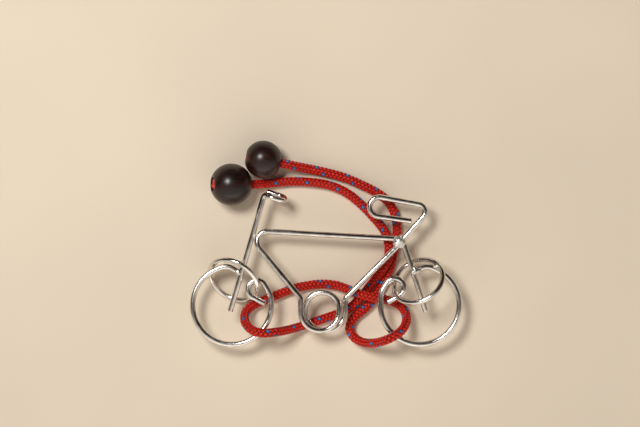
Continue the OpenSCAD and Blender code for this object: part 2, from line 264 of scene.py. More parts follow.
def nickel_plate(name, tint, tarnish, ripple, gloss=(0.09, 0.27)):
    """Bright nickel plating: ripples, dull patches and small pits, between two roughnesses."""
    material, tree, shader = new_material(name)
    place = object_space(tree)
    patches = add_node(tree, "TexNoise", Vector=place, Scale=140.0, Detail=4.0, Roughness=0.6)
    smears = add_node(tree, "TexNoise", Vector=place, Scale=900.0, Detail=3.0, Roughness=0.7)
    pits = add_node(tree, "TexNoise", Vector=place, Scale=2600.0, Detail=2.0)
    tree.links.new(ramp(tree, patches, (0.34, tarnish), (0.58, tint)), shader.inputs["Base Color"])
    mixed = add_node(tree, "Math", settings={"operation": "MULTIPLY"}, _0=patches, _1=smears)
    tree.links.new(
        add_node(
            tree, "MapRange", Value=mixed, From_Min=0.12, From_Max=0.42,
            To_Min=gloss[0], To_Max=gloss[1]),
        shader.inputs["Roughness"])
    wave = add_node(tree, "Bump", Strength=0.5, Distance=ripple, Height=patches)
    fine = add_node(tree, "Bump", Strength=0.2, Distance=0.006 * MM, Height=pits, Normal=wave)
    tree.links.new(fine, shader.inputs["Normal"])
    shader.inputs["Metallic"].default_value = 1
    return material


def stained_wood(name, dark, light, axis):
    """Nearly black stained wood under gloss lacquer, with its grain along the bore."""
    material, tree, shader = new_material(name)
    turn = Vector(axis).to_track_quat("Z", "Y").inverted().to_euler()
    place = object_space(tree, rotation=tuple(turn))
    long_grain = add_node(tree, "Mapping", Vector=place, Scale=(1, 1, 0.12))
    fibres = add_node(tree, "TexNoise", Vector=long_grain, Scale=1500.0, Detail=5.0, Roughness=0.62)
    figure = add_node(tree, "TexNoise", Vector=long_grain, Scale=260.0, Detail=3.0, Distortion=1.2)
    pores = add_node(tree, "TexVoronoi", Vector=long_grain, Scale=1300.0)
    both = add_node(tree, "Math", settings={"operation": "MULTIPLY"}, _0=fibres, _1=figure)
    colour = ramp(tree, both, (0.14, dark), (0.27, even_mix(dark, light)), (0.42, light))
    tree.links.new(colour, shader.inputs["Base Color"])
    tree.links.new(
        add_node(tree, "MapRange", Value=fibres, From_Min=0.3, From_Max=0.7, To_Min=0.3, To_Max=0.5),
        shader.inputs["Roughness"])
    grain = add_node(tree, "Bump", Strength=0.25, Distance=0.04 * MM, Height=fibres)
    pits = add_node(tree, "Bump", Strength=0.15, Distance=0.03 * MM, Height=pores, Normal=grain)
    tree.links.new(pits, shader.inputs["Normal"])
    soft = add_node(tree, "Bump", Strength=0.12, Distance=0.05 * MM, Height=figure)
    tree.links.new(soft, shader.inputs["Coat Normal"])
    shader.inputs["Specular IOR Level"].default_value = 0.2
    shader.inputs["Coat Weight"].default_value = 0.45
    shader.inputs["Coat Roughness"].default_value = 0.24
    return material


def braid_yarn(name, colour):
    """A bundle of synthetic fibres along the yarn's own U direction, with painted shade where it dives
    under the other yarns.
    """
    material, tree, shader = new_material(name)
    place = add_node(tree, "TexCoord", outlet=2)
    fibre_place = add_node(tree, "Mapping", Vector=place, Scale=(1.2, 14, 1))
    fibres = add_node(tree, "TexNoise", Vector=fibre_place, Scale=1.0, Detail=3.0, Roughness=0.6)
    wear_place = add_node(tree, "Mapping", Vector=place, Scale=(0.25, 1, 1))
    wear = add_node(tree, "TexNoise", Vector=wear_place, Scale=1.0, Detail=2.0)
    deep = tuple(0.5 * c for c in colour)
    pale = tuple(min(1, 1.2 * c + 0.006) for c in colour)
    shade = ramp(tree, fibres, (0.3, deep), (0.52, colour), (0.75, pale))
    tone = ramp(tree, wear, (0.3, (0.82, 0.82, 0.82)), (0.7, (1.0, 1.0, 1.0)))
    # The proud attribute says how far the yarn stands out. The ramp on it paints shade where the yarn
    # dives under, darkest in the gaps between yarns.
    proud = add_node(tree, "Attribute", outlet=2, settings={"attribute_name": "proud"})
    painted_dive_shade = ramp(
        tree, proud, (0.3, (0.06, 0.02, 0.02)), (0.78, (0.42, 0.25, 0.25)), (1.0, (1.0, 1.0, 1.0)))
    worn = multiply_colours(tree, shade, tone)
    tree.links.new(multiply_colours(tree, worn, painted_dive_shade), shader.inputs["Base Color"])
    tree.links.new(
        add_node(tree, "Bump", Strength=0.6, Distance=0.06 * MM, Height=fibres), shader.inputs["Normal"])
    shader.inputs["Roughness"].default_value = 0.34
    shader.inputs["Specular IOR Level"].default_value = 0.5
    shader.inputs["Specular Tint"].default_value = (1, 0.5, 0.4, 1)
    shader.inputs["Sheen Weight"].default_value = 0.03
    shader.inputs["Sheen Roughness"].default_value = 0.4
    return material


def knotted_yarn(name, colour):
    """The cord's braid where it is pulled into a knot."""
    material, tree, shader = new_material(name)
    place = object_space(tree)
    strands = add_node(tree, "TexWave", Vector=place, Scale=330.0, Distortion=3.0, Detail=2.0)
    fuzz = add_node(tree, "TexNoise", Vector=place, Scale=2500.0, Detail=3.0)
    shade = ramp(tree, strands, (0.1, tuple(0.45 * c for c in colour)), (0.6, colour))
    tree.links.new(shade, shader.inputs["Base Color"])
    coarse = add_node(tree, "Bump", Strength=0.7, Distance=0.15 * MM, Height=strands)
    fine = add_node(tree, "Bump", Strength=0.4, Distance=0.05 * MM, Height=fuzz, Normal=coarse)
    tree.links.new(fine, shader.inputs["Normal"])
    shader.inputs["Roughness"].default_value = 0.6
    return material


def paper_floor(name, colour):
    """Plain paper, with faint clouds and fibres."""
    material, tree, shader = new_material(name)
    place = object_space(tree)
    cloud = add_node(tree, "TexNoise", Vector=place, Scale=9.0, Detail=2.0)
    fibre = add_node(tree, "TexNoise", Vector=place, Scale=700.0, Detail=3.0)
    dim = tuple(0.93 * c for c in colour)
    tree.links.new(ramp(tree, cloud, (0.3, dim), (0.7, colour)), shader.inputs["Base Color"])
    tree.links.new(
        add_node(tree, "Bump", Strength=0.1, Distance=0.05 * MM, Height=fibre), shader.inputs["Normal"])
    shader.inputs["Roughness"].default_value = 0.8
    return material


# ---------------------------------------------------------------- modelling helpers


def deselect_all():
    """Leaves edit mode and selects nothing."""
    if bpy.context.object and bpy.context.object.mode != "OBJECT":
        bpy.ops.object.mode_set(mode="OBJECT")
    bpy.ops.object.select_all(action="DESELECT")


def work_on(piece):
    """Selects one piece and makes it the active one."""
    deselect_all()
    piece.select_set(True)
    bpy.context.view_layer.objects.active = piece


def edit(piece, mode="FACE", select="DESELECT"):
    """Opens a piece in edit mode with all or none of it selected."""
    work_on(piece)
    bpy.ops.object.mode_set(mode="EDIT")
    bpy.ops.mesh.select_mode(type=mode)
    bpy.ops.mesh.select_all(action=select)
    return bmesh.from_edit_mesh(piece.data)


def apply_modifier(piece, kind, **settings):
    """Adds a modifier with these settings and applies it."""
    work_on(piece)
    modifier = piece.modifiers.new(kind.title(), kind)
    for name, value in settings.items():
        setattr(modifier, name, value)
    bpy.ops.object.modifier_apply(modifier=modifier.name)


def settle(piece, place=None):
    """Puts a piece in place, then applies that, so that its object sits at the origin."""
    work_on(piece)
    if place is not None:
        piece.matrix_world = place
    bpy.ops.object.transform_apply(location=True, rotation=True, scale=True)


def hand_over(piece, name, material, body, node):
    """Names a finished piece, gives it its finish and lets it stand for its CAD node."""
    piece.name = name
    piece.data.name = name
    piece.data.materials.clear()
    piece.data.materials.append(material)
    work_on(piece)
    bpy.ops.object.shade_smooth_by_angle(angle=math.radians(40))
    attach(piece, body)
    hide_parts(node)


def mesh_piece(name, points, faces):
    """A new object from points and the faces between them."""
    mesh = bpy.data.meshes.new(name)
    mesh.from_pydata([tuple(p) for p in points], [], [tuple(f) for f in faces])
    mesh.update()
    piece = bpy.data.objects.new(name, mesh)
    bpy.context.scene.collection.objects.link(piece)
    return piece


def tube_rings(line, radius, sides):
    """Points of a round tube along a line: one ring for each point of the line."""
    up, across = travelling_axes(line)
    angles = np.arange(sides) * 2 * math.pi / sides
    return (line[:, None]
            + radius * np.cos(angles)[None, :, None] * up[:, None]
            + radius * np.sin(angles)[None, :, None] * across[:, None])


def travelling_axes(line):
    """Two axes square to a line at each of its points, which turn with it but never spin."""
    ahead = np.gradient(line, axis=0)
    ahead /= np.linalg.norm(ahead, axis=1)[:, None]
    up = np.zeros_like(ahead)
    start = np.array([0.0, 0.0, 1.0])
    for i, way in enumerate(ahead):
        start = start - way * (start @ way)
        start = start / np.linalg.norm(start)
        up[i] = start
    return up, np.cross(ahead, up)


def ring_faces(count, sides, first=0, closed=False):
    """Quads between successive rings of points, and caps unless the tube closes on itself."""
    faces = []
    for i in range(count if closed else count - 1):
        here, there = first + i * sides, first + (i + 1) % count * sides
        faces += [
            (here + k, here + (k + 1) % sides, there + (k + 1) % sides, there + k)
            for k in range(sides)
        ]
    if not closed:
        faces.append(tuple(first + k for k in reversed(range(sides))))
        faces.append(tuple(first + (count - 1) * sides + k for k in range(sides)))
    return faces


def smooth_line(route, per_span=24):
    """The smooth curve through the route's points, as in the CAD source."""
    p = np.asarray(route, float)
    p = np.vstack([2 * p[0] - p[1], p, 2 * p[-1] - p[-2]])
    points = []
    for a, b, c, d in zip(p[:-3], p[1:-2], p[2:-1], p[3:]):
        for u in np.arange(per_span) / per_span:
            points.append(0.5 * (2 * b + (c - a) * u + (2 * a - 5 * b + 4 * c - d) * u**2
                                 + (3 * b - a - 3 * c + d) * u**3))
    points.append(p[-2])
    return np.array(points)


def even_steps(line, count):
    """The same line with its points at equal distances, and the distance of each."""
    gaps = np.linalg.norm(np.diff(line, axis=0), axis=1)
    far = np.concatenate([[0], np.cumsum(gaps)])
    at = np.linspace(0, far[-1], count)
    return np.stack([np.interp(at, far, line[:, i]) for i in range(3)], axis=1), at


# ---------------------------------------------------------------- pieces


class PUZZLE_OT_stage(Operator):
    """Lays the floor, and sets up the soft light and the camera over the puzzle"""
    bl_idname = "puzzle.stage"
    bl_label = "Stage"

    def execute(self, context):
        settings = context.scene.puzzle_stage
        self.lay_floor(settings)
        self.hang_lights()
        self.set_sky(context.scene)
        self.set_camera(context.scene, settings)
        context.scene.view_settings.view_transform = "Standard"
        return {"FINISHED"}

    def lay_floor(self, settings):
        """A wide floor just under the puzzle"""
        deselect_all()
        bpy.ops.mesh.primitive_plane_add(size=4, location=(0, 0, -0.05 * MM))
        floor = bpy.context.object
        floor.name = "floor"
        floor.data.materials.append(paper_floor("floor_paper", settings.floor))
        settle(floor)

    def hang_lights(self):
        """A small window above the beads, and a long low light beyond the wheels"""
        self.soft_light("window", (-0.34, 0.32, 0.92), 0.34, 0.28, 7.5)
        self.soft_light("low_front", (0.05, -1.3, 0.5), 1.8, 0.34, 2)

    def soft_light(self, name, place, width, height, power):
        """A rectangular light that faces the puzzle"""
        data = bpy.data.lights.new(name, "AREA")
        data.shape = "RECTANGLE"
        data.size = width
        data.size_y = height
        data.energy = power
        lamp = bpy.data.objects.new(name, data)
        lamp.location = place
        lamp.rotation_mode = "QUATERNION"
        lamp.rotation_quaternion = (-Vector(place)).to_track_quat("-Z", "Y")
        bpy.context.scene.collection.objects.link(lamp)

    def set_sky(self, scene):
        """A room that is bright on the side of the wheels and dark on the side of the beads"""
        world = bpy.data.worlds.new("dim_room")
        world.use_nodes = True
        tree = world.node_tree
        way = add_node(tree, "TexCoord", outlet=0)
        towards = add_node(
            tree, "VectorMath", outlet=1, settings={"operation": "DOT_PRODUCT"},
            _0=way, _1=(0.05, -1.0, 0.0))
        blend = add_node(tree, "MapRange", Value=towards, From_Min=-0.12, From_Max=0.5)
        colour = ramp(
            tree, blend, (0, (0.03, 0.025, 0.022)), (0.4, (0.22, 0.20, 0.18)), (1, (0.98, 0.93, 0.86)))
        background = tree.nodes["Background"]
        tree.links.new(colour, background.inputs["Color"])
        background.inputs["Strength"].default_value = 0.9
        scene.world = world

    def set_camera(self, scene, settings):
        """A camera that looks straight down at the puzzle from over the middle of its frame"""
        data = bpy.data.cameras.new("camera")
        data.sensor_width = 36
        data.lens = settings.lens
        camera = bpy.data.objects.new("camera", data)
        camera.location = (-2.5 * MM, 12.8 * MM, settings.camera_height)
        scene.collection.objects.link(camera)
        scene.camera = camera


class PUZZLE_OT_cord(Operator):
    """Braids the cord out of yarns that pass over and under one another"""
    bl_idname = "puzzle.cord"
    bl_label = "Braided cord"

    def execute(self, context):
        settings = context.scene.puzzle_cord
        line, far = even_steps(smooth_line(CORD_ROUTE) * MM, settings.steps)
        points, faces, uvs, colours = self.core(line, settings)
        # The core is never proud, so the yarn material paints it in its darkest shade
        proud = [np.zeros(len(points[0]))]
        for number in range(2 * settings.pairs):
            self.add_yarn(number, line, far, settings, points, proud, faces, uvs, colours)
        cord = mesh_piece("braided_cord", np.concatenate(points), faces)
        layer = cord.data.uv_layers.new(name="yarn")
        layer.data.foreach_set("uv", np.concatenate(uvs).ravel())
        lifted = cord.data.attributes.new("proud", "FLOAT", "POINT")
        lifted.data.foreach_set("value", np.concatenate(proud))
        cord.data.materials.append(braid_yarn("red_yarn", tuple(settings.red)))
        cord.data.materials.append(braid_yarn("blue_yarn", tuple(settings.blue)))
        cord.data.polygons.foreach_set("material_index", np.array(colours, np.int32))
        work_on(cord)
        bpy.ops.object.shade_smooth()
        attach(cord, ROOT)
        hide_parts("cord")
        return {"FINISHED"}

    def core(self, line, settings):
        """A round core, with half as many steps, that keeps light from showing between the yarns"""
        sides = 8
        rings = tube_rings(line[::2], 0.36 * settings.diameter, sides)
        faces = ring_faces(len(rings), sides)
        uvs = [np.zeros((sum(len(f) for f in faces), 2))]
        return [rings.reshape(-1, 3)], faces, uvs, [0] * len(faces)

    def add_yarn(self, number, line, far, settings, points, proud, faces, uvs, colours):
        """One yarn: over two and under two of the yarns that wind the other way"""
        way = 1 if number < settings.pairs else -1
        index = number % settings.pairs
        radius = settings.diameter / 2
        half_thick = 0.2 * radius
        half_wide = 0.26 * radius
        sway = 0.13 * radius
        turns = way * far / settings.lay + index / settings.pairs
        crossing = 2 * settings.pairs * far / settings.lay
        phase = way * crossing + 2 * index - 0.5
        lift = way * np.cos(math.pi / 2 * phase)
        height = radius - half_thick - sway + sway * lift
        up, across = travelling_axes(line)
        angle = 2 * math.pi * turns
        out = np.cos(angle)[:, None] * up + np.sin(angle)[:, None] * across
        middle = line + height[:, None] * out
        heading = np.gradient(middle, axis=0)
        heading /= np.linalg.norm(heading, axis=1)[:, None]
        side = np.cross(heading, out)
        side /= np.linalg.norm(side, axis=1)[:, None]
        sides = 8
        lobes = np.arange(sides) * 2 * math.pi / sides
        rings = (middle[:, None]
                 - half_wide * np.cos(lobes)[None, :, None] * side[:, None]
                 + half_thick * np.sin(lobes)[None, :, None] * out[:, None])
        first = sum(len(p) for p in points)
        points.append(rings.reshape(-1, 3))
        # How far the yarn stands out at each point, which its colour turns into painted shade
        proud.append(np.repeat(0.5 + 0.5 * lift, sides))
        new_faces = ring_faces(len(line), sides, first)
        faces += new_faces
        colours += [1 if number == 0 else 0] * len(new_faces)
        uvs.append(self.yarn_uvs(far, sides, number))

    def yarn_uvs(self, far, sides, number):
        """U is the distance along the yarn in millimetres, V goes once round it"""
        apart = 37.0
        along_yarn = far / MM + apart * number
        uv = np.zeros((len(far) - 1, sides, 4, 2))
        around = np.arange(sides) / sides
        uv[..., 0, 0] = uv[..., 1, 0] = along_yarn[:-1, None]
        uv[..., 2, 0] = uv[..., 3, 0] = along_yarn[1:, None]
        uv[..., 0, 1] = uv[..., 3, 1] = around[None]
        uv[..., 1, 1] = uv[..., 2, 1] = around[None] + 1 / sides
        return np.concatenate([uv.reshape(-1, 2), np.zeros((2 * sides, 2))])


# ---------------------------------------------------------------- the wires' middle lines


def along(degrees):
    """A step of one along a heading in the plane of the bicycle."""
    return np.array([math.cos(math.radians(degrees)), math.sin(math.radians(degrees))])


def meeting(p, a, q, b):
    """The point where the line through p at angle a meets the line through q at angle b."""
    gap = np.subtract(q, p)
    across = gap[0] * math.sin(math.radians(b)) - gap[1] * math.cos(math.radians(b))
    return p + along(a) * across / math.sin(math.radians(b - a))


def tangent(centre, radius, heading, side=1):
    """The point of a circle where a wire that goes round it has this heading."""
    return centre + radius * along(heading - side * 90)


def round_corners(centre, radius, start, end, corners=3):
    """A wire's corners round a circle, from one heading to another."""
    step = (end - start) / corners
    side = math.copysign(1, step)
    reach = radius / math.cos(math.radians(step / 2))
    return [
        (centre + reach * along(start + (i + 0.5) * step - side * 90), radius)
        for i in range(corners)
    ]


def middle_line(corners, bend_step=5):
    """A wire's middle line: straight between its corners, with points round each bend."""
    places = [np.asarray(place, float) for place, _ in corners]
    radii = [radius for _, radius in corners]
    line = [places[0]]
    for before, here, after, radius in zip(places, places[1:], places[2:], radii[1:]):
        arrive = (here - before) / np.linalg.norm(here - before)
        leave = (after - here) / np.linalg.norm(after - here)
        angle = math.acos(np.clip(arrive @ leave, -1, 1))
        inward = (leave - arrive) / np.linalg.norm(leave - arrive)
        centre = here + radius / math.cos(angle / 2) * inward
        middle = (arrive + leave) / np.linalg.norm(arrive + leave)
        steps = math.ceil(math.degrees(angle) / bend_step)
        for a in angle * (np.linspace(0, 1, steps + 1) - 0.5):
            line.append(centre + radius * (math.sin(a) * middle - math.cos(a) * inward))
    line.append(places[-1])
    return np.array(line)


class BicycleLines:
    """The corners of the bicycle's five wires, in millimetres, from its few sizes"""

    sizes = (
        "wire_d", "wheelbase", "wheel_y", "wheel_r", "rear_eye_r", "front_eye_r",
        "crank_r", "crank_pitch", "saddle_l", "saddle_w", "grip_r")
    weld_gap = 0.1  # between two wires that a weld joins

    def __init__(self, settings):
        for name in self.sizes:
            setattr(self, name, getattr(settings, name) / MM)
        low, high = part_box("handlebar_and_fork")
        self.plane = (low.z + high.z) / 2 / MM
        self.post_angle = 90 - math.degrees(settings.seat_lean)
        self.fork_angle = math.degrees(settings.fork_lean) - 90
        self.rear_hub = np.array([-self.wheelbase / 2, self.wheel_y])
        self.front_hub = np.array([self.wheelbase / 2, self.wheel_y])
        self.head = self.front_hub + (-7.3, 27.3)

    def flat(self, corners):
        """Corners lifted into the plane of the bicycle, above the table"""
        return [((*place, self.plane), radius) for place, radius in corners]

    def seat_post(self):
        """From the foot of the post up to the saddle and once round it"""
        foot = 2.8  # length past the middle of the wheel
        top = self.rear_hub + 49 * along(self.post_angle)
        slope = math.radians(-17)
        roll = math.radians(15)
        back = 2.6  # from the post to where the near side runs straight
        end = 0.8  # from the post to the cut end of the far side
        half = self.saddle_w / 2
        nose_r = half - 0.1

        def on_saddle(forward, across):
            return np.array([
                top[0] + forward * math.cos(slope),
                top[1] + forward * math.sin(slope) - across * math.sin(roll),
                self.plane + across * math.cos(roll)])

        return [
            ((*(self.rear_hub - foot * along(self.post_angle)), self.plane), 0),
            (on_saddle(0, 0), 2),
            (on_saddle(back, half), 2.4),
            (on_saddle(self.saddle_l, half), nose_r),
            (on_saddle(self.saddle_l, -half), nose_r),
            (on_saddle(end, -half), 0),
        ]

    def handlebar_and_fork(self):
        """From the free end of the bar round the grip, down the stem and on to the fork's foot"""
        stem_angle = 48.7
        bar_slope = -10.4
        lower_slope = -8
        bar_reach = 14.2  # length of the lower bar
        fork_l = 31.6
        grip = self.head + (-9.75, 14)
        upper_start = tangent(grip, self.grip_r, bar_slope, -1)
        lower_end = tangent(grip, self.grip_r, lower_slope + 180, -1)
        return self.flat([
            (lower_end + bar_reach * along(lower_slope), 0),
            *round_corners(grip, self.grip_r, lower_slope + 180, bar_slope),
            (meeting(upper_start, bar_slope, self.head, stem_angle), 3.2),
            (self.head, 3),
            (self.head + fork_l * along(self.fork_angle), 0),
        ])

    def frame_wire(self):
        """From the head along the top tube, down to the crank loop and back up to the head"""
        x, y = -1.6, self.wheel_y - 1.7  # centre of the top of the crank loop
        r = self.crank_r
        slack = 0.05  # the loop's turns fall short of half circles by this much, as they climb
        left = x - r - 1.9
        right = x + r + 2.5
        foot = y - 0.9
        shoulder = y + 4.8
        left_r = (x + r - left) / 2
        right_r = (right - x + r) / 2
        top = self.head + (-1.2, 0.5)
        top_heading = 176.7
        bend_r = 4.4
        # the bend at the seat comes one weld gap short of the seat post
        seat_bend = meeting(
            top + bend_r * along(top_heading + 90), top_heading,
            self.rear_hub + (bend_r + self.wire_d + self.weld_gap) * along(self.post_angle - 90),
            self.post_angle)
        tube_foot = np.array([left, shoulder])
        to_bend = seat_bend - tube_foot
        tube_heading = math.degrees(
            math.atan2(to_bend[1], to_bend[0]) + math.asin(bend_r / np.linalg.norm(to_bend)))
        corner = meeting(top, top_heading, tube_foot, tube_heading)

        def at(px, py, turns):
            return (px, py, self.plane + self.crank_pitch * (0.75 - turns))

        return [
            ((*top, self.plane), 0),
            ((*corner, self.plane), bend_r),
            (at(left, shoulder, 0), 3),
            (at(left, foot - left_r, 0.1), left_r - slack),
            (at(x + r, foot - left_r, 0.4), left_r - slack),
            (at(x + r, y + r, 0.6), r - slack),
            (at(x - r, y + r, 0.9), r - slack),
            (at(x - r, foot - right_r, 1.3), right_r - slack),
            (at(right, foot - right_r, 1.5), right_r - slack),
            (at(right, shoulder - 0.5, 1.5), 3),
            ((*(self.head + (-2.1, -2.4)), self.plane), 0),
        ]

    def wheel(self, hub, weld, eye, eye_r, tail):
        """A wheel with the middle of the bicycle to its right, from its weld to its hooked tail"""
        approach = 148  # heading of the wire as it leaves the weld
        joins_at = 200  # heading at which it reaches the circle
        eye_in = 122
        eye_out = 332
        start = weld + (0.67 * self.wire_d + self.weld_gap) * along(approach)
        return self.flat([
            (start, 0),
            (meeting(start, approach, tangent(hub, self.wheel_r, joins_at), joins_at), 6),
            *round_corners(hub, self.wheel_r, joins_at, 450),
            (meeting(hub + (self.wheel_r, 0), 90, tangent(eye, eye_r, eye_in), eye_in), 8),
            *round_corners(eye, eye_r, eye_in, eye_out),
            (tangent(eye, eye_r, eye_out) + tail * along(eye_out), 0),
        ])

    def rear_wheel(self):
        weld = meeting(self.rear_hub, self.post_angle, self.rear_hub + (0, 0.8 * self.wheel_r), 0)
        eye = self.rear_hub + (self.wheel_r - 6, 6.7)
        return self.wheel(self.rear_hub, weld, eye, self.rear_eye_r, 5.9)

    def front_wheel(self):
        """The same shape the other way round"""
        other_way = np.array([-1, 1])
        weld = meeting(self.head, self.fork_angle, self.front_hub + (0, 0.82 * self.wheel_r), 0)
        eye = self.front_hub + (5.9 - self.wheel_r, 7.3)
        corners = self.wheel(
            self.front_hub * other_way, weld * other_way, eye * other_way, self.front_eye_r, 5.6)
        return [((-x, y, z), radius) for (x, y, z), radius in corners]


class PUZZLE_OT_wires(Operator):
    """Bends the five wires of the bicycle and tumbles their cut ends round"""
    bl_idname = "puzzle.wires"
    bl_label = "Bent wires"

    def execute(self, context):
        settings = context.scene.puzzle_wires
        plate = nickel_plate("nickel_plate", tuple(settings.tint), tuple(settings.tarnish), 0.05 * MM)
        lines = BicycleLines(settings)
        for node in ("frame_wire", "seat_post", "handlebar_and_fork", "rear_wheel", "front_wheel"):
            corners = getattr(lines, node)()
            wire = self.bend(middle_line(corners) * MM, settings.wire_d / 2)
            self.round_ends(wire, settings.end_rounding)
            hand_over(wire, "bent_" + node, plate, ROOT, node)
        return {"FINISHED"}

    def bend(self, line, radius):
        """A round wire along a line, as a bevelled curve made into a mesh"""
        deselect_all()
        curve = bpy.data.curves.new("wire", "CURVE")
        curve.dimensions = "3D"
        curve.bevel_depth = radius
        curve.bevel_resolution = 8
        curve.use_fill_caps = True
        spline = curve.splines.new("POLY")
        spline.points.add(len(line) - 1)
        spline.points.foreach_set("co", np.hstack([line, np.ones((len(line), 1))]).ravel())
        wire = bpy.data.objects.new("wire", curve)
        bpy.context.scene.collection.objects.link(wire)
        work_on(wire)
        bpy.ops.object.convert(target="MESH")
        wire = bpy.context.object
        edit(wire, "VERT", "SELECT")
        bpy.ops.mesh.remove_doubles(threshold=0.001 * MM)
        bpy.ops.mesh.normals_make_consistent(inside=False)
        bpy.ops.object.mode_set(mode="OBJECT")
        return wire

    def round_ends(self, wire, rounding):
        """Bevels the sharp edge round each cut end of a wire"""
        mesh = edit(wire, "EDGE")
        for edge in mesh.edges:
            edge.select = edge.calc_face_angle(0) > math.radians(60)
        bmesh.update_edit_mesh(wire.data)
        bpy.ops.mesh.bevel(offset=rounding, segments=3, affect="EDGES")
        bpy.ops.object.mode_set(mode="OBJECT")


class PUZZLE_OT_rings(Operator):
    """Turns the two loose rings, each with the faint swell of its welded seam"""
    bl_idname = "puzzle.rings"
    bl_label = "Loose rings"

    def execute(self, context):
        settings = context.scene.puzzle_rings
        wires = context.scene.puzzle_wires
        plate = nickel_plate("ring_plate", tuple(wires.tint), tuple(wires.tarnish), 0.04 * MM)
        for node in ("rear_ring", "front_ring"):
            self.make_ring(node, settings, plate)
        return {"FINISHED"}

    def make_ring(self, node, settings, plate):
        """A ring where its CAD node lies, a hair thinner, so that it stays free in its eye"""
        seam_at = 0.9  # in radians round the ring
        seam_width = 0.7 * MM
        thinner = 0.01 * MM
        co = np.array([v.co for v in frame["nodes"][node].data.vertices])
        middle = (co.max(0) + co.min(0)) / 2
        spread = np.linalg.svd(co - middle, full_matrices=False)[2]
        reach = np.linalg.norm(co - middle, axis=1).max() - settings.wire_d / 2
        turn = Matrix(spread[[0, 1, 2]].tolist()).transposed()
        if turn.determinant() < 0:
            turn.col[2] = -turn.col[2]
        deselect_all()
        bpy.ops.mesh.primitive_torus_add(
            major_segments=144, minor_segments=24, major_radius=reach, minor_radius=settings.wire_d / 2)
        ring = bpy.context.object
        mesh = edit(ring, "VERT")
        for corner in mesh.verts:
            angle = math.atan2(corner.co.y, corner.co.x) - seam_at
            swell = settings.seam_swell * math.exp(-((angle * reach) / seam_width) ** 2)
            spine = Vector((corner.co.x, corner.co.y, 0)).normalized() * reach
            corner.co += (corner.co - spine).normalized() * (swell - thinner)
        bmesh.update_edit_mesh(ring.data)
        bpy.ops.object.mode_set(mode="OBJECT")
        settle(ring, Matrix.Translation(middle) @ turn.to_4x4())
        hand_over(ring, "closed_" + node, plate, node, node)


class PUZZLE_OT_welds(Operator):
    """Melts drops of metal into the lumpy welds"""
    bl_idname = "puzzle.welds"
    bl_label = "Welds"

    # For each weld, its drops, in millimetres: how far from the middle of the weld, and the radius
    drops = {
        "head_weld": [
            (-0.4, 0.4, 0.3, 2.3), (-1.5, -0.7, 0.6, 1.6), (0.9, -0.4, 0.3, 1.7), (0.2, 1.5, 0.7, 1.5),
            (-1.7, 1.2, 0.1, 1.5), (0.9, 2.0, 0.2, 1.1), (0.3, -1.9, 0.3, 1.1), (0.0, 0.2, 1.5, 1.0)],
        "seat_weld": [(0.0, 0.2, 0.1, 0.9), (0.1, -0.7, 0.2, 0.75), (-0.3, 0.7, 0.0, 0.7)],
        "rear_wheel_weld": [(0.0, 0.0, 0.3, 1.35), (0.8, -0.5, 0.4, 1.05), (-0.9, 0.5, 0.1, 1.0)],
        "front_wheel_weld": [
            (-0.4, 0.1, 0.7, 1.4), (-1.3, -0.5, 0.7, 1.2), (1.0, 0.5, 0.5, 1.15), (-0.9, 1.3, 0.8, 1.0)],
    }

    def execute(self, context):
        settings = context.scene.puzzle_welds
        wires = context.scene.puzzle_wires
        plate = nickel_plate(
            "weld_plate", tuple(wires.tint), tuple(wires.tarnish), 0.3 * MM, gloss=(0.24, 0.48))
        for node, drops in self.drops.items():
            self.melt(node, drops, settings, plate)
        return {"FINISHED"}

    def melt(self, node, drops, settings, plate):
        """Joins a weld's drops into one smooth lump and ripples its surface"""
        low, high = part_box(node)
        middle = (low + high) / 2
        deselect_all()
        parts = []
        for x, y, z, radius in drops:
            bpy.ops.mesh.primitive_ico_sphere_add(
                subdivisions=3, radius=radius * MM, location=middle + Vector((x, y, z)) * MM)
            parts.append(bpy.context.object)
        for part in parts:
            part.select_set(True)
        bpy.ops.object.join()
        weld = bpy.context.object
        settle(weld)
        apply_modifier(weld, "REMESH", mode="VOXEL", voxel_size=settings.grain)
        edit(weld, "VERT", "SELECT")
        bpy.ops.mesh.vertices_smooth(factor=0.5, repeat=5)
        bpy.ops.object.mode_set(mode="OBJECT")
        ripple = bpy.data.textures.new(node + "_ripple", "CLOUDS")
        ripple.noise_scale = 0.8 * MM
        apply_modifier(
            weld, "DISPLACE", texture=ripple, strength=settings.roughness,
            mid_level=0.5, texture_coords="LOCAL")
        hand_over(weld, "lumpy_" + node, plate, ROOT, node)


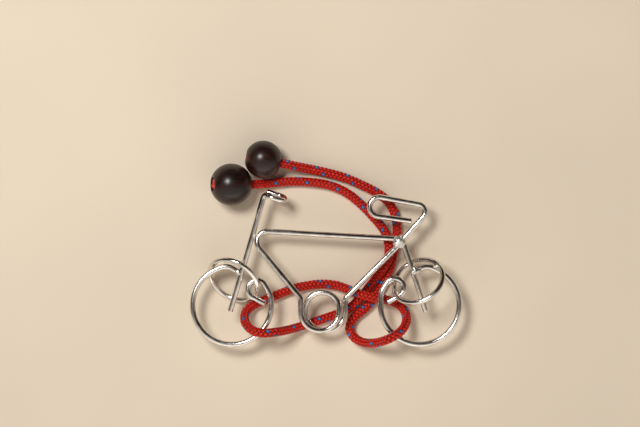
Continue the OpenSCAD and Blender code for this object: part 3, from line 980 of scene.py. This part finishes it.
class PUZZLE_OT_beads(Operator):
    """Turns the two wooden beads and ties the knots in their pockets"""
    bl_idname = "puzzle.beads"
    bl_label = "Beads and knots"

    def execute(self, context):
        settings = context.scene.puzzle_beads
        red = tuple(context.scene.puzzle_cord.red)
        knot_yarn = knotted_yarn("knot_yarn", red)
        for end, diameter in (("front", settings.front_d), ("rear", settings.rear_d)):
            joint = JOINTS[end + "_bead_turn"]
            axis = Vector(joint["axis"])
            place = Matrix.Translation(joint["pos_m"]) @ axis.to_track_quat("Z", "Y").to_matrix().to_4x4()
            wood = stained_wood(end + "_bead_wood", tuple(settings.dark), tuple(settings.light), axis)
            bead = self.turn_bead(diameter, settings)
            settle(bead, place)
            hand_over(bead, end + "_turned_bead", wood, end + "_bead", end + "_bead")
            knot = self.tie_knot(diameter, settings)
            settle(knot, place)
            hand_over(knot, end + "_cord_knot", knot_yarn, ROOT, end + "_bead_knot")
        return {"FINISHED"}

    def turn_bead(self, diameter, settings):
        """Spins the outline of a bead, its bore and the pocket round the bore's axis"""
        radius = diameter / 2
        half = radius * settings.flat
        bore, pocket = settings.bore_d / 2, settings.pocket_d / 2
        floor = half - settings.pocket_depth
        top = math.asin(half / radius)
        steps = 40
        outline = [
            (bore, -half), (bore, -half / 2), (bore, 0), (bore, floor), (pocket, floor), (pocket, half)]
        outline += [(radius * math.cos(a), radius * math.sin(a)) for a in np.linspace(top, -top, steps)]
        count = len(outline)
        mesh = bpy.data.meshes.new("bead")
        edges = [(i, (i + 1) % count) for i in range(count)]
        mesh.from_pydata([(r, 0, z) for r, z in outline], edges, [])
        bead = bpy.data.objects.new("bead", mesh)
        bpy.context.scene.collection.objects.link(bead)
        edit(bead, "VERT", "SELECT")
        bpy.ops.mesh.spin(steps=96, angle=2 * math.pi, center=(0, 0, 0), axis=(0, 0, 1))
        bpy.ops.mesh.select_all(action="SELECT")
        bpy.ops.mesh.remove_doubles(threshold=0.001 * MM)
        bpy.ops.mesh.normals_make_consistent(inside=False)
        bpy.ops.object.mode_set(mode="OBJECT")
        apply_modifier(
            bead, "BEVEL", width=settings.lip, segments=3, limit_method="ANGLE",
            angle_limit=math.radians(30))
        return bead

    def tie_knot(self, diameter, settings):
        """A tight overhand knot that fills the pocket of its bead"""
        cord_r = 0.95 * MM  # pulled thin by the knot
        room = 0.3 * MM
        size = (settings.pocket_d / 2 - room - cord_r) / 3
        depth = settings.pocket_depth - room
        rise = depth / 2 - cord_r
        middle = diameter / 2 * settings.flat - depth / 2
        turn = np.linspace(0, 2 * math.pi, 120, endpoint=False)
        line = np.stack([
            size * (np.sin(turn) + 2 * np.sin(2 * turn)),
            size * (np.cos(turn) - 2 * np.cos(2 * turn)),
            middle - rise * np.sin(3 * turn)], axis=1)
        wrapped = np.vstack([line[-1:], line, line[:1]])
        ahead = (wrapped[2:] - wrapped[:-2])
        ahead /= np.linalg.norm(ahead, axis=1)[:, None]
        out = line - np.array([0, 0, middle])
        out -= ahead * np.sum(out * ahead, axis=1)[:, None]
        out /= np.linalg.norm(out, axis=1)[:, None]
        across = np.cross(ahead, out)
        sides = 14
        angles = np.arange(sides) * 2 * math.pi / sides
        rings = (line[:, None]
                 + cord_r * np.cos(angles)[None, :, None] * out[:, None]
                 + cord_r * np.sin(angles)[None, :, None] * across[:, None])
        return mesh_piece("knot", rings.reshape(-1, 3), ring_faces(len(line), sides, closed=True))


class PUZZLE_PT_panel(Panel):
    """Lists the pieces of the puzzle"""
    bl_label = "Wire Puzzle"
    bl_idname = "PUZZLE_PT_panel"
    bl_space_type = "VIEW_3D"
    bl_region_type = "UI"
    bl_category = "Wire Puzzle"

    def draw(self, context):
        scene = context.scene
        for operator, group in BUILD_ORDER:
            box = self.layout.box()
            box.operator(operator)
            settings = getattr(scene, group)
            for name in settings.__annotations__:
                box.prop(settings, name)


GROUPS = {
    "puzzle_stage": StageSettings,
    "puzzle_cord": CordSettings,
    "puzzle_wires": WireSettings,
    "puzzle_rings": RingSettings,
    "puzzle_welds": WeldSettings,
    "puzzle_beads": BeadSettings,
}
BUILD_ORDER = [
    ("puzzle.stage", "puzzle_stage"),
    ("puzzle.wires", "puzzle_wires"),
    ("puzzle.rings", "puzzle_rings"),
    ("puzzle.welds", "puzzle_welds"),
    ("puzzle.beads", "puzzle_beads"),
    ("puzzle.cord", "puzzle_cord"),
]
CLASSES = [
    PUZZLE_OT_stage, PUZZLE_OT_cord, PUZZLE_OT_wires, PUZZLE_OT_rings, PUZZLE_OT_welds,
    PUZZLE_OT_beads, PUZZLE_PT_panel,
]


def register():
    for group in GROUPS.values():
        bpy.utils.register_class(group)
    for name, group in GROUPS.items():
        setattr(bpy.types.Scene, name, PointerProperty(type=group))
    for kind in CLASSES:
        bpy.utils.register_class(kind)


def unregister():
    for kind in reversed(CLASSES):
        bpy.utils.unregister_class(kind)
    for name, group in GROUPS.items():
        delattr(bpy.types.Scene, name)
        bpy.utils.unregister_class(group)


def main():
    register()
    bpy.ops.puzzle.stage()
    bpy.ops.puzzle.wires()
    bpy.ops.puzzle.rings()
    bpy.ops.puzzle.welds()
    bpy.ops.puzzle.beads()
    bpy.ops.puzzle.cord()
    deselect_all()
    bpy.context.view_layer.update()


if __name__ == "__main__":
    main()
